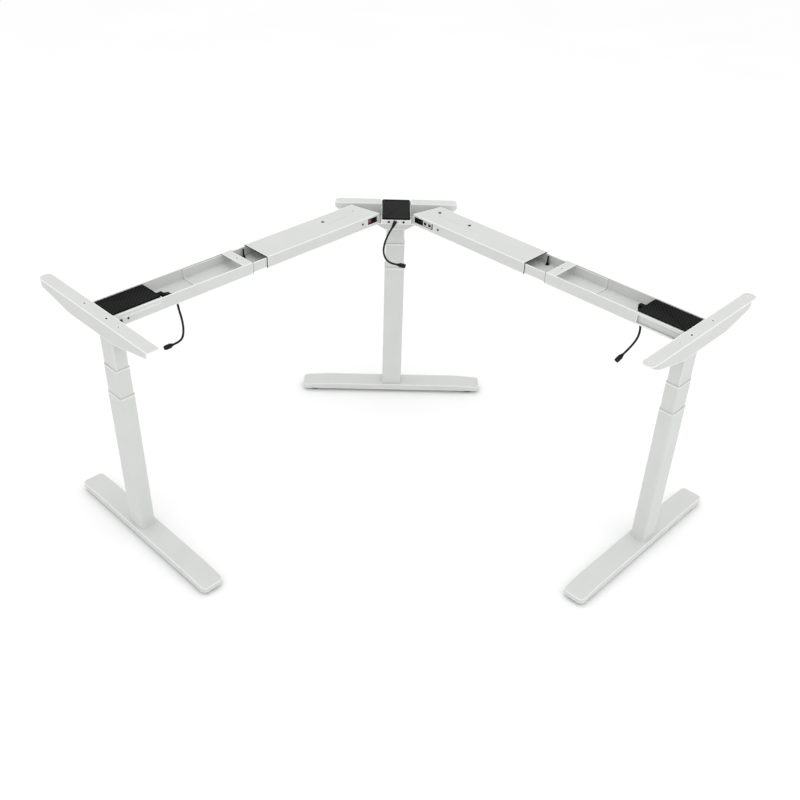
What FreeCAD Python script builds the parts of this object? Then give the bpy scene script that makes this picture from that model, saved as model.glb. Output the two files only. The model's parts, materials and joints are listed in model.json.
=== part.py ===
"""Height adjustable corner frame for an L-shaped desk: three lifting legs, two telescopic arms.

Millimetres, +Z up, standing on z = 0.  The design frame has its centre where the centre
lines of the two arms cross: the right arm runs along +X, the left arm along -Y, and the
corner leg stands on the diagonal between them.  Everything is then shifted so that the
origin is the centre of the footprint.
"""
import FreeCAD, Part
import math
import os
import Sketcher

DOC = FreeCAD.newDocument("corner_desk_frame")
UP = FreeCAD.Vector(0, 0, 1)

# ---------------------------------------------------------------- driving dimensions
DIMENSIONS = [
    # feet and levelling pads
    ("foot_len", 690), ("foot_back", 310), ("foot_width", 74), ("foot_top", 35),
    ("foot_depth", 22), ("foot_ramp", 95), ("foot_drop", 7), ("foot_sheet", 3),
    ("foot_end_radius", 16), ("pad_radius", 24), ("pad_height", 9), ("pad_inset", 44),
    ("pad_stud_radius", 4), ("pad_stud_len", 24), ("stud_clear", 0.05), ("pad_nut_radius", 8),
    ("base_plate", 4),
    ("screw_radius", 3), ("screw_head_radius", 5), ("screw_head", 3.5), ("screw_clear", 0.3),
    ("screw_pitch_x", 24), ("screw_pitch_y", 44),
    # lifting column, widest tube at the bottom
    ("tube_y", 72), ("tube_x", 50), ("tube_wall", 1.2), ("tube_step", 2), ("tube_radius", 7),
    ("radius_step", 2), ("outer_top", 540), ("middle_top", 635), ("drive_seat", 741.5),
    ("collar", 4), ("liner", 60), ("glide_gap", 0.3), ("stage_down", 95),
    ("spindle_radius", 7), ("spindle_shank", 5), ("spindle_foot", 240),
    # arms
    ("arm_left", 1197), ("arm_right", 1224), ("leg_offset", 69), ("beam_width", 115),
    ("beam_top", 779), ("beam_height", 39), ("beam_sheet", 2), ("apex_start", 82.5),
    ("apex_skew", 23), ("apex_end", 628), ("end_section", 510), ("strip_width", 34),
    ("rail_width", 110), ("rail_height", 33), ("rail_sheet", 2), ("rail_lap", 180),
    ("rail_far_lap_left", 181), ("rail_far_lap_right", 154), ("rail_clear", 0.4),
    ("bolt_radius", 3), ("bolt_height", 33),
    ("arm_hole_radius", 3.25), ("arm_hole_near", 195), ("arm_hole_far", 331), ("arm_hole_in", 18),
    ("seam_len", 180), ("seam_depth", 0.6), ("seam_width", 1.2),
    # brackets that carry the top
    ("bracket_top", 783), ("bracket_len", 580), ("bracket_width", 42), ("bracket_sheet", 2.5),
    ("bracket_depth", 52), ("bracket_tip", 20), ("bracket_flat", 120), ("bracket_out", 2.5),
    ("bracket_radius", 19), ("square_radius", 3), ("plate_reach", 28), ("plate_reach_square", 6),
    ("open_end", 34), ("hole_radius", 3.25), ("slot_len", 12), ("slot_pitch", 116),
    ("third_hole", 120), ("end_hole_pitch", 534),
    ("corner_bracket_len", 428), ("corner_forward", 54), ("corner_bracket_out", 7),
    ("shelf_sheet", 3), ("shelf_front", 82), ("shelf_nose", 55), ("shelf_half", 190),
    ("shelf_side", 20), ("gusset_depth", 47), ("gusset_half", 37), ("gusset_top_half", 112),
    ("gusset_gap", 3.5), ("arm_gap", 0.5),
    # motor housings and drives
    ("housing_len", 165), ("housing_width", 101), ("housing_sheet", 1.5), ("housing_gap", 20),
    ("housing_lip", 8), ("cover_rim_x", 2), ("cover_rim_y", 2.5), ("cover_sheet", 4),
    ("cover_radius", 8), ("corner_housing_back", 27), ("corner_housing_nose", 15),
    ("corner_housing_toe", 3), ("window_end", 11.5), ("window_sill", 5), ("window_head", 8),
    ("notch_height", 14), ("notch_gap", 0.8), ("nub_len", 16), ("nub_width", 15), ("nub_height", 15),
    ("gearbox_x", 33), ("gearbox_y", 86), ("gearbox_shift", 15), ("gearbox_height", 31),
    ("motor_radius", 14.6), ("motor_len", 71), ("motor_cap", 7), ("motor_rise", 16.8),
    ("motor_side", 41),
    ("cap_screw_pitch", 50), ("cap_screw_radius", 4), ("cap_screw_head", 2),
    # electrics
    ("control_len", 200), ("control_width", 96), ("control_height", 31), ("control_start", 28),
    ("port_len", 86), ("port_height", 22), ("port_start", 7), ("port_bottom", 750),
    ("inlet_len", 46), ("inlet_depth", 42), ("inlet_in", 6), ("socket_in", 3),
    ("wall_hole_radius", 3), ("wall_hole_gap", 24),
    ("socket_pitch", 20), ("socket_width", 13), ("socket_height", 11), ("socket_depth", 9),
    ("rocker_gap_x", 0.4), ("rocker_gap_z", 0.7), ("rocker_depth", 7), ("rocker_dip", 0.6),
    ("rocker_in", 3.2), ("rocker_pin", 1), ("rocker_pin_len", 0.9), ("rocker_pin_gap", 0.05),
    ("cord_radius", 3.5), ("cord_hole", 9),
    ("plug_radius", 8), ("plug_len", 30), ("plug_neck", 8),
]


class Size:
    """A number from the sheet, or worked out from such numbers, with its expression."""

    def __init__(self, text, value):
        self.text = text
        self.value = value

    @staticmethod
    def of(other):
        return other if isinstance(other, Size) else Size(repr(other), float(other))

    def _join(self, other, sign, value):
        return Size("(%s %s %s)" % (self.text, sign, Size.of(other).text), value)

    def __add__(self, other):
        return self._join(other, "+", self.value + Size.of(other).value)

    def __sub__(self, other):
        return self._join(other, "-", self.value - Size.of(other).value)

    def __mul__(self, other):
        return self._join(other, "*", self.value * Size.of(other).value)

    def __truediv__(self, other):
        return self._join(other, "/", self.value / Size.of(other).value)

    def __neg__(self):
        return self * -1

    def __rsub__(self, other):
        return Size.of(other) - self

    def __radd__(self, other):
        return Size.of(other) + self

    def __rmul__(self, other):
        return self * other


class Sheet:
    """The driving dimensions, each one a cell of the spreadsheet and an attribute here."""

    def __init__(self, dimensions):
        sheet = DOC.addObject("Spreadsheet::Sheet", "Sizes")
        for row, (alias, number) in enumerate(dimensions, start=1):
            sheet.set("A%d" % row, alias)
            sheet.set("B%d" % row, str(number))
            sheet.setAlias("B%d" % row, alias)
            setattr(self, alias, Size("Sizes." + alias, float(number)))
        DOC.recompute()


S = Sheet(DIMENSIONS)


# ---------------------------------------------------------------- small modelling helpers
def bind(obj, prop, size):
    """Bind one property to its expression in the sheet."""
    obj.setExpression(prop, Size.of(size).text)


def place(obj, x=0, y=0, z=0, turn=0.0):
    """Turn an object about Z by whole degrees and bind its position."""
    obj.Placement = FreeCAD.Placement(FreeCAD.Vector(0, 0, 0), FreeCAD.Rotation(UP, turn))
    for axis, size in zip("xyz", (x, y, z)):
        bind(obj, "Placement.Base." + axis, size)
    return obj


def box(x, y, z, dx, dy, dz):
    """A box from its low corner and its three sizes."""
    obj = DOC.addObject("Part::Box", "box")
    bind(obj, "Length", dx)
    bind(obj, "Width", dy)
    bind(obj, "Height", dz)
    return place(obj, x, y, z)


def middle_box(x, y, z, dx, dy, dz):
    """A box centred on x and y, standing on z."""
    return box(x - Size.of(dx) / 2, y - Size.of(dy) / 2, z, dx, dy, dz)


def rod(x, y, z, radius, length, axis=UP, top_radius=None):
    """A cylinder, or a cone when a second radius is given, along any axis."""
    kind = "Part::Cylinder" if top_radius is None else "Part::Cone"
    obj = DOC.addObject(kind, "rod")
    bind(obj, "Height", length)
    if top_radius is None:
        bind(obj, "Radius", radius)
    else:
        bind(obj, "Radius1", radius)
        bind(obj, "Radius2", top_radius)
    place(obj, x, y, z)
    base = obj.Placement.Base
    obj.Placement = FreeCAD.Placement(base, FreeCAD.Rotation(UP, FreeCAD.Vector(axis)))
    return obj


def fuse(*shapes):
    """All the shapes as one solid."""
    if len(shapes) == 1:
        return shapes[0]
    obj = DOC.addObject("Part::MultiFuse", "fuse")
    obj.Shapes = list(shapes)
    obj.Refine = True
    return obj


def cut(base, *tools):
    """The base with the tools taken away."""
    obj = DOC.addObject("Part::Cut", "cut")
    obj.Base = base
    obj.Tool = fuse(*tools)
    obj.Refine = True
    return obj


def common(first, second):
    """What the two shapes share."""
    obj = DOC.addObject("Part::Common", "common")
    obj.Base = first
    obj.Tool = second
    obj.Refine = True
    return obj


def group(*shapes):
    """Separate solids kept side by side in one node."""
    obj = DOC.addObject("Part::Compound", "group")
    obj.Links = list(shapes)
    return obj


def round_uprights(base, radius, square_end=0, square_radius=None):
    """Round the four upright edges of a box, those of one end (by the sign of Y) nearly square."""
    DOC.recompute()
    middle = base.Shape.BoundBox.Center.y
    edges = []
    for index, edge in enumerate(base.Shape.Edges, start=1):
        along = edge.Vertexes[1].Point - edge.Vertexes[0].Point
        if abs(along.x) < 0.01 and abs(along.y) < 0.01:
            square = (edge.Vertexes[0].Point.y - middle) * square_end > 0
            rounding = square_radius.value if square else radius.value
            edges.append((index, rounding, rounding))
    obj = DOC.addObject("Part::Fillet", "rounded")
    obj.Base = base
    obj.Edges = edges
    return obj


def outline(role, points, depth):
    """A polygon sketched on an origin plane of its own body and padded both ways about it.

    The first number of a point runs along the plane's first axis and the second along its
    other axis: X and Y on XY_Plane, Y and Z on YZ_Plane, X and Z on XZ_Plane.
    """
    body = DOC.addObject("PartDesign::Body", "body")
    sketch = body.newObject("Sketcher::SketchObject", "profile")
    plane = [item for item in body.Origin.OriginFeatures if item.Role == role][0]
    sketch.AttachmentSupport = [(plane, "")]
    sketch.MapMode = "FlatFace"
    corners = [FreeCAD.Vector(Size.of(a).value, Size.of(b).value, 0) for a, b in points]
    for near, far in zip(corners, corners[1:] + corners[:1]):
        sketch.addGeometry(Part.LineSegment(near, far), False)
    count = len(points)
    for index in range(count):
        follower = (index + 1) % count
        sketch.addConstraint(Sketcher.Constraint("Coincident", index, 2, follower, 1))
    for index, pair in enumerate(points):
        for kind, size in zip(("DistanceX", "DistanceY"), pair):
            row = sketch.addConstraint(
                Sketcher.Constraint(kind, -1, 1, index, 1, Size.of(size).value))
            if isinstance(size, Size):
                sketch.setExpression("Constraints[%d]" % row, size.text)
    pad = body.newObject("PartDesign::Pad", "pad")
    pad.Profile = sketch
    pad.SideType = "Symmetric"
    bind(pad, "Length", depth)
    body.Tip = pad
    return body


def finish(label, obj, x=0, y=0, z=0, turn=0.0):
    """Name a sub-part and put it where it belongs."""
    obj.Label = label
    place(obj, x, y, z, turn)
    PARTS.append(obj)
    return obj


PARTS = []

# ---------------------------------------------------------------- where things stand
LOW_X = -(S.bracket_len / 2)
HIGH_X = S.arm_right + S.foot_width / 2
LOW_Y = -(S.arm_left + S.foot_width / 2)
HIGH_Y = S.bracket_len / 2
SHIFT_X = -((LOW_X + HIGH_X) / 2)
SHIFT_Y = -((LOW_Y + HIGH_Y) / 2)
HALF = math.sqrt(0.5)
BEAM_BOTTOM = S.beam_top - S.beam_height
WINDOW_X = -S.housing_gap - S.housing_len + S.bracket_width / 4
WINDOW_LEN = S.housing_len - S.bracket_width / 4 - S.window_end
COVER_LEN = S.housing_len - S.cover_rim_x * 2
COVER_WIDTH = S.housing_width - S.cover_rim_y * 2
# an end bracket's outer wall bears on the column's inner tube
BRACKET_SHIFT = S.tube_x / 2 - S.tube_step * 2 + S.bracket_out - S.bracket_width / 2
# an arm starts where its slanted end clears the other arm and the corner housing
ARM_NEAR = S.apex_start + S.beam_width / 2
PORT_START = ARM_NEAR + S.port_start
CONTROL_START = ARM_NEAR + S.control_start


class Leg:
    """Where one leg stands, how it is turned, and which side of it the user sits.

    In its own frame the column is on the Z axis, the foot runs along Y and the motor
    housing lies towards -X.  user is +1 or -1: the sign of Y on the user's side.
    """

    def __init__(self, name, x, y, turn, user):
        self.name = name
        self.x = x + SHIFT_X
        self.y = y + SHIFT_Y
        self.turn = turn
        self.user = user

    def put(self, piece, obj, dx=0, dy=0):
        """Finish a piece of this leg, moved by dx and dy in the leg's own frame."""
        along = FreeCAD.Rotation(UP, self.turn).multVec(FreeCAD.Vector(1, 0, 0))
        cos, sin = round(along.x, 9), round(along.y, 9)
        x = self.x + Size.of(dx) * cos - Size.of(dy) * sin
        y = self.y + Size.of(dx) * sin + Size.of(dy) * cos
        return finish("%s_%s" % (self.name, piece), obj, x, y, 0, self.turn)

    def at(self, point):
        """A point of the leg's own frame as a vector of the whole frame."""
        turned = FreeCAD.Rotation(UP, self.turn).multVec(FreeCAD.Vector(*point))
        return turned + FreeCAD.Vector(self.x.value, self.y.value, 0)


LEGS = {
    "corner": Leg("corner", S.corner_forward * HALF, -S.corner_forward * HALF, 135.0, 0),
    "left": Leg("left", S.leg_offset, -S.arm_left, -90.0, 1),
    "right": Leg("right", S.arm_right, -S.leg_offset, 0.0, -1),
}


# ---------------------------------------------------------------- feet
def foot_span(leg):
    """The two ends of a foot along Y: an end leg's is set back, the corner's is centred."""
    if leg.user == 0:
        return -(S.foot_len / 2), S.foot_len / 2
    front = S.foot_len - S.foot_back
    return (-S.foot_back, front) if leg.user > 0 else (-front, S.foot_back)


def pad_places(leg):
    """The two levelling pads: front is the user's side, or the side of the left arm."""
    low, high = foot_span(leg)
    ends = {"low": low + S.pad_inset, "high": high - S.pad_inset}
    front = "high" if leg.user > 0 else "low"
    rear = "low" if leg.user > 0 else "high"
    return {"front": ends[front], "rear": ends[rear]}


def screw_places():
    """The four screws that hold a column down, about its axis."""
    return [(S.screw_pitch_x / 2 * i, S.screw_pitch_y / 2 * j) for i in (-1, 1) for j in (-1, 1)]


def make_foot(leg):
    """A folded sheet foot, open below, its ends ramped down and rounded."""
    low, high = foot_span(leg)
    bottom = S.foot_top - S.foot_depth
    tip = S.foot_top - S.foot_drop

    def channel(inset):
        profile = outline("YZ_Plane", [
            (low + inset, bottom), (high - inset, bottom), (high - inset, tip - inset),
            (high - S.foot_ramp, S.foot_top - inset), (low + S.foot_ramp, S.foot_top - inset),
            (low + inset, tip - inset)], S.foot_width - 2 * Size.of(inset))
        plan = round_uprights(
            box(-(S.foot_width / 2) + inset, low + inset, 0, S.foot_width - 2 * Size.of(inset),
                S.foot_len - 2 * Size.of(inset), S.foot_top), S.foot_end_radius - inset)
        return common(profile, plan)

    shell = cut(channel(0), channel(S.foot_sheet))
    nuts = [rod(0, y, bottom, S.pad_nut_radius, S.foot_depth - S.foot_drop, UP)
            for y in pad_places(leg).values()]
    studs = [rod(0, y, 0, S.pad_stud_radius + S.stud_clear, S.foot_top - S.foot_drop)
             for y in pad_places(leg).values()]
    holes = [rod(x, y, 0, S.screw_radius + S.screw_clear, S.foot_top + 5)
             for x, y in screw_places()]
    leg.put("foot", cut(fuse(shell, *nuts), *(studs + holes)))


def make_pads(leg):
    """Two rubber-faced levelling pads, each on its own threaded stud."""
    for end, y in pad_places(leg).items():
        face = rod(0, y, 0, S.pad_radius, S.pad_height - 3)
        crown = rod(0, y, S.pad_height - 3, S.pad_radius, 3, UP, S.pad_nut_radius)
        stud = rod(0, y, S.pad_height - 1, S.pad_stud_radius, S.pad_stud_len - S.pad_height)
        leg.put("pad_" + end, fuse(face, crown, stud))


def make_foot_screws(leg):
    """Four screws driven up through the foot into the column's base plate."""
    seat = S.foot_top - S.foot_sheet
    screws = []
    for x, y in screw_places():
        head = rod(x, y, seat - S.screw_head, S.screw_head_radius, S.screw_head)
        shank = rod(x, y, seat - 1, S.screw_radius, S.foot_sheet + S.base_plate + 1)
        screws.append(fuse(head, shank))
    leg.put("foot_screws", group(*screws))


# ---------------------------------------------------------------- columns
def tube_block(stage, bottom, top, shrink=0):
    """A solid rounded block of the outline of one stage, 0 outer to 2 inner."""
    inset = S.tube_step * stage + shrink
    radius = S.tube_radius - S.radius_step * stage - shrink
    block = middle_box(Size.of(0), Size.of(0), bottom, S.tube_x - 2 * inset, S.tube_y - 2 * inset,
                       top - bottom)
    return round_uprights(block, radius)


def make_columns(leg):
    """Three nested tubes with a plastic collar and liner at the top of each of the lower two."""
    shelf = BEAM_BOTTOM - S.shelf_sheet
    tops = [S.outer_top - S.collar, S.middle_top - S.collar, S.drive_seat if leg.user else shelf]
    middle_foot = S.foot_top + S.base_plate + 1 + S.stage_down
    bottoms = [S.foot_top, middle_foot, middle_foot + S.stage_down + 1]
    names = ["outer_tube", "middle_tube", "inner_tube"]
    for stage, name in enumerate(names):
        solid = tube_block(stage, bottoms[stage], tops[stage])
        floor = bottoms[stage] + (S.base_plate if stage == 0 else -1)
        tools = [tube_block(stage, floor, tops[stage] + 1, S.tube_wall)]
        if stage == 0:
            tools += [rod(x, y, S.foot_top - 1, S.screw_radius + 0.02, S.base_plate + 2)
                      for x, y in screw_places()]
        leg.put(name, cut(solid, *tools))
    for stage, name in enumerate(["outer_glide", "middle_glide"]):
        seat = tops[stage]
        collar = tube_block(stage, seat, seat + S.collar)
        liner = tube_block(stage, seat - S.liner, seat + 0.5, S.tube_wall)
        bore = tube_block(stage + 1, seat - S.liner - 1, seat + S.collar + 1, -S.glide_gap)
        leg.put(name, cut(fuse(collar, liner), bore))


def make_spindle(leg):
    """The lifting screw, hung from the gearbox down the middle of the column."""
    thread = rod(0, 0, S.spindle_foot, S.spindle_radius, S.drive_seat - S.spindle_foot - 30)
    shank = rod(0, 0, S.drive_seat - 31, S.spindle_shank, 31)
    leg.put("spindle", fuse(thread, shank))


# ---------------------------------------------------------------- brackets
def bracket_block(length, inset, square_end=0):
    """The bracket's outer form, or the hollow inside it when inset is the sheet's thickness."""
    top = S.bracket_top - inset
    middle = S.bracket_top - S.bracket_depth - inset * 2
    tip = S.bracket_top - S.bracket_tip - inset * 2
    half = length / 2 - inset
    width = S.bracket_width - inset * 2
    profile = outline("YZ_Plane", [
        (-half, top), (-half, tip), (-S.bracket_flat, middle), (S.bracket_flat, middle),
        (half, tip), (half, top)], width)
    plan = round_uprights(
        middle_box(Size.of(0), Size.of(0), middle - 1, width, length - inset * 2,
                   top - middle + 2), S.bracket_radius - inset, square_end, S.square_radius)
    return common(profile, plan)


def slot(x, y, radius, length, z, depth):
    """A slot along Y, as a cutting tool."""
    reach = length / 2 - radius
    ends = [rod(x, y + reach, z, radius, depth), rod(x, y - reach, z, radius, depth)]
    return fuse(middle_box(Size.of(x), Size.of(y), z, radius * 2, reach * 2, depth), *ends)


def bracket_shell(length, reach, square_end):
    """A folded channel whose top plate reaches past its walls at both ends."""
    walls = length - reach * 2
    skirt = cut(bracket_block(walls, Size.of(0), square_end),
                bracket_block(walls, S.bracket_sheet, square_end))
    plate = round_uprights(
        middle_box(Size.of(0), Size.of(0), S.bracket_top - S.bracket_sheet, S.bracket_width,
                   length, S.bracket_sheet), S.bracket_radius, square_end, S.square_radius)
    return fuse(skirt, plate)


def make_end_bracket(leg):
    """A folded channel across the top of an end leg, notched for the column and the drive."""
    square_end = leg.user if leg.name == "left" else 0
    reach = S.plate_reach_square if square_end else S.plate_reach
    shell = bracket_shell(S.bracket_len, reach, square_end)
    column_y = S.leg_offset * leg.user
    out = BRACKET_SHIFT
    under = S.bracket_top - S.bracket_sheet
    low = S.bracket_top - S.bracket_depth - 1
    column = box(-S.tube_x / 2 - out, column_y - S.tube_y / 2, low, S.tube_x / 2, S.tube_y,
                 under - low)
    drive_y = column_y - S.gearbox_shift * leg.user - S.gearbox_y / 2 - 1
    drive = box(-S.tube_x / 2 - out, drive_y, BEAM_BOTTOM, S.tube_x / 2, S.gearbox_y + 2,
                under - BEAM_BOTTOM)
    tools = [column, drive]
    if square_end:
        tools.append(box(-S.bracket_width / 2 - 1, S.bracket_len / 2 - S.open_end, low,
                         S.bracket_width - S.bracket_sheet + 1, S.open_end + 1, under - low))
    z = under - 1
    depth = S.bracket_sheet + 2
    for side in (-1, 1):
        tools.append(slot(0, S.slot_pitch / 2 * side, S.hole_radius, S.slot_len, z, depth))
        if leg.name == "right":
            tools.append(rod(0, S.end_hole_pitch / 2 * side, z, S.hole_radius, depth))
    tools.append(rod(0, S.third_hole * leg.user, z, S.hole_radius, depth))
    leg.put("bracket", cut(shell, *tools), out, -column_y)


def arm_plan(user, near, far, side, skew, height):
    """An arm's plan, its near end slanted away from the user's side, about the beam's middle."""
    plan = outline("XY_Plane", [
        (near, side * user), (far, side * user), (far, -side * user),
        (near + skew, -side * user)], height)
    return place(plan, 0, 0, BEAM_BOTTOM + S.beam_height / 2)


def arm_tool(user, turn):
    """The space that an arm takes at the corner, seen from the corner leg's own frame."""
    tool = arm_plan(user, ARM_NEAR - S.arm_gap, S.apex_end, S.beam_width / 2 + S.arm_gap,
                    S.apex_skew, S.beam_height + S.arm_gap * 2)
    return place(group(tool), S.corner_forward, 0, 0, turn)


def make_corner_bracket(leg):
    """Two bracket wings on one shelf that carries both arms, with a gusset over the column."""
    shell = cut(bracket_block(S.corner_bracket_len, Size.of(0)),
                bracket_block(S.corner_bracket_len, S.bracket_sheet))
    place(shell, S.corner_bracket_out, 0, 0)
    back = S.corner_bracket_out + S.bracket_width / 2
    shelf = outline("XY_Plane", [
        (back, -S.shelf_half), (back, S.shelf_half), (-S.shelf_side, S.shelf_half),
        (-S.shelf_front, S.shelf_nose), (-S.shelf_front, -S.shelf_nose),
        (-S.shelf_side, -S.shelf_half)], S.shelf_sheet)
    place(shelf, 0, 0, BEAM_BOTTOM - S.shelf_sheet / 2)
    top = BEAM_BOTTOM - S.shelf_sheet / 2
    gusset = outline("YZ_Plane", [
        (-S.gusset_half, BEAM_BOTTOM - S.gusset_depth), (S.gusset_half, BEAM_BOTTOM - S.gusset_depth),
        (S.gusset_top_half, top), (-S.gusset_top_half, top)], S.bracket_sheet)
    place(gusset, -(S.tube_x / 2 + S.gusset_gap + S.bracket_sheet / 2), 0, 0)
    low = S.bracket_top - S.bracket_depth - 1
    gap = S.housing_width + 1
    middle = middle_box(Size.of(0), Size.of(0), BEAM_BOTTOM, S.foot_len, gap, S.bracket_depth)
    column = middle_box(Size.of(0), Size.of(0), low, S.tube_x + S.bracket_width, gap,
                        BEAM_BOTTOM - S.shelf_sheet - low)
    wings = cut(shell, middle, column, arm_tool(-1, 225.0), arm_tool(1, 135.0))
    z = S.bracket_top - S.bracket_sheet - 1
    depth = S.bracket_sheet + 2
    holes = [rod(S.corner_bracket_out, (S.corner_bracket_len / 2 - S.pad_inset / 2) * side, z,
                 S.hole_radius, depth) for side in (-1, 1)]
    bore = rod(0, 0, low, S.spindle_radius + 1, S.bracket_depth)
    leg.put("bracket", cut(fuse(wings, shelf, gusset), bore, *holes))


# ---------------------------------------------------------------- motor housings and drives
def make_end_housing(leg):
    """A sheet box in the end of the arm, open towards the column, lipped under its cover."""
    beam_y = -S.leg_offset * leg.user
    floor = BEAM_BOTTOM + S.beam_sheet
    top = S.beam_top - S.beam_sheet
    start = -S.housing_gap - S.housing_len
    shell = middle_box(start + S.housing_len / 2, beam_y, floor, S.housing_len, S.housing_width,
                       top - floor)
    room = box(start + S.housing_sheet, beam_y - S.housing_width / 2 + S.housing_sheet,
               floor + S.housing_sheet, S.housing_len, S.housing_width - S.housing_sheet * 2,
               top - floor - S.housing_sheet * 2)
    mouth = middle_box(start + S.housing_len / 2, beam_y, top - S.housing_sheet - 1,
                       COVER_LEN - S.housing_lip * 2, COVER_WIDTH - S.housing_lip * 2,
                       S.housing_sheet + 2)
    flap_x = WINDOW_X + S.notch_gap
    flap_len = WINDOW_LEN - S.notch_gap * 2
    ledge = box(flap_x, beam_y + S.housing_width / 2 - S.housing_sheet, top - S.housing_sheet,
                flap_len, (S.beam_width - S.housing_width) / 2 + S.housing_sheet,
                S.housing_sheet)
    flap = box(flap_x, beam_y + S.beam_width / 2 - S.beam_sheet,
               S.beam_top - S.notch_height + S.notch_gap, flap_len, S.beam_sheet,
               S.notch_height - S.notch_gap)
    leg.put("motor_housing", fuse(cut(shell, room, mouth), ledge, flap))
    plate = round_uprights(
        middle_box(start + S.housing_len / 2, beam_y, top, COVER_LEN, COVER_WIDTH,
                   S.cover_sheet), S.cover_radius)
    skirt = middle_box(start + S.housing_len / 2, beam_y, top - S.housing_lip / 2,
                       COVER_LEN - S.housing_lip * 2 - 1, COVER_WIDTH - S.housing_lip * 2 - 1,
                       S.housing_lip / 2)
    nub = box(start - S.nub_len, EXIT_Y[leg.name] - S.nub_width / 2, top - S.nub_height,
              S.nub_len, S.nub_width, S.nub_height)
    strap = box(start - S.nub_len, EXIT_Y[leg.name] - S.nub_width / 2, top,
                S.nub_len + S.cover_radius * 2, S.nub_width, S.cover_sheet / 2)
    leg.put("motor_cover", fuse(plate, skirt, nub, strap))


def make_corner_housing(leg):
    """The corner's motor housing: a sheet box whose floor rises towards its nose."""
    back = S.corner_housing_back
    nose = back - S.housing_len
    toe = BRACKET_SHIFT - S.gearbox_x / 2 + 1 - S.motor_len + S.corner_housing_toe

    def block(inset):
        base = BEAM_BOTTOM + inset
        top = S.beam_top - inset
        low = S.beam_top - S.corner_housing_nose
        return outline("XZ_Plane", [
            (back - inset, base), (back - inset, top), (nose + inset, top),
            (nose + inset, low + inset), (toe, base)], S.housing_width - inset * 2)

    middle = back - S.housing_len / 2
    mouth = middle_box(middle, Size.of(0), S.beam_top - S.housing_sheet - 1,
                       COVER_LEN - S.housing_lip * 2, COVER_WIDTH - S.housing_lip * 2,
                       S.housing_sheet + 2)
    bore = rod(0, 0, BEAM_BOTTOM - 1, S.spindle_radius + 1, 10)
    screw_z = S.beam_top - S.corner_housing_nose / 2
    holes = [rod(nose - 1, S.cap_screw_pitch / 2 * side, screw_z, S.screw_radius / 2, 10,
                 FreeCAD.Vector(1, 0, 0)) for side in (-1, 1)]
    leg.put("motor_housing", cut(block(Size.of(0)), block(S.housing_sheet), mouth, bore, *holes))
    plate = round_uprights(
        middle_box(middle, Size.of(0), S.beam_top, COVER_LEN, COVER_WIDTH, S.cover_sheet),
        S.cover_radius)
    skirt = middle_box(middle, Size.of(0), S.beam_top - S.housing_lip / 2,
                       COVER_LEN - S.housing_lip * 2 - 1, COVER_WIDTH - S.housing_lip * 2 - 1,
                       S.housing_lip / 2)
    leg.put("motor_cover", fuse(plate, skirt))
    screws = []
    for side in (-1, 1):
        y = S.cap_screw_pitch / 2 * side
        head = rod(nose - S.cap_screw_head, y, screw_z, S.cap_screw_radius, S.cap_screw_head,
                   FreeCAD.Vector(1, 0, 0))
        shank = rod(nose - 1, y, screw_z, S.screw_radius / 2, 9, FreeCAD.Vector(1, 0, 0))
        screws.append(fuse(head, shank))
    leg.put("housing_screws", group(*screws))


def make_gear_motor(leg):
    """A worm gearbox on top of the column with its motor lying in the housing."""
    shift = S.gearbox_shift * leg.user
    x = BRACKET_SHIFT
    gearbox = middle_box(x, -shift, S.drive_seat, S.gearbox_x,
                         S.gearbox_y if leg.user else S.gearbox_y - 2 * S.gearbox_shift,
                         S.gearbox_height)
    face = x - S.gearbox_x / 2
    y = -S.motor_side * leg.user
    z = S.drive_seat + S.motor_rise
    inward = FreeCAD.Vector(-1, 0, 0)
    can = rod(face + 1, y, z, S.motor_radius, S.motor_len, inward)
    cap = rod(face + 1 - S.motor_len, y, z, S.motor_radius * 0.55, S.motor_cap, inward)
    leg.put("gear_motor", fuse(gearbox, can, cap))


# ---------------------------------------------------------------- arms
class Arm:
    """One telescopic arm, in a frame whose X axis is the arm's centre line."""

    def __init__(self, name, length, far_lap, turn, user):
        self.name = name
        self.length = length
        self.far_lap = far_lap
        self.turn = turn
        self.user = user

    def put(self, piece, obj):
        """Finish a piece of this arm."""
        return finish("%s_%s" % (self.name, piece), obj, SHIFT_X, SHIFT_Y, 0, self.turn)


def front_box(arm, x, z, length, height, depth):
    """A box that reaches from just outside the arm's user-side wall inwards."""
    wall = S.beam_width / 2 + 1
    low = -wall if arm.user < 0 else wall - depth
    return box(x, low, z, length, depth, height)


def make_apex_beam(arm):
    """The corner section of an arm: a closed tube with a slanted, closed near end."""
    user = arm.user

    def block(inset, past):
        return arm_plan(user, ARM_NEAR + inset * 1.5, S.apex_end + past,
                        S.beam_width / 2 - inset, S.apex_skew, S.beam_height - inset * 2)

    over = S.beam_top - S.beam_sheet - 1
    deep = S.beam_sheet + 2
    window = S.port_len if arm.name == "right" else S.inlet_len
    side_hole_x = PORT_START + window + S.wall_hole_gap
    tools = [block(S.beam_sheet, 1),
             front_box(arm, PORT_START, S.port_bottom, window, S.port_height, S.beam_sheet + 2),
             rod(side_hole_x, (S.beam_width / 2 + 1) * user, S.port_bottom + S.port_height / 2,
                 S.wall_hole_radius, S.beam_sheet + 2, FreeCAD.Vector(0, -user, 0)),
             box(S.arm_hole_near, S.seam_width * user, S.beam_top - S.seam_depth, S.seam_len,
                 S.seam_width, S.seam_depth + 1)]
    for x in (S.arm_hole_near, S.arm_hole_far):
        tools.append(rod(x, -S.arm_hole_in * user, over, S.arm_hole_radius, deep))
    arm.put("apex_beam", cut(block(Size.of(0), 0), *tools))


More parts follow.
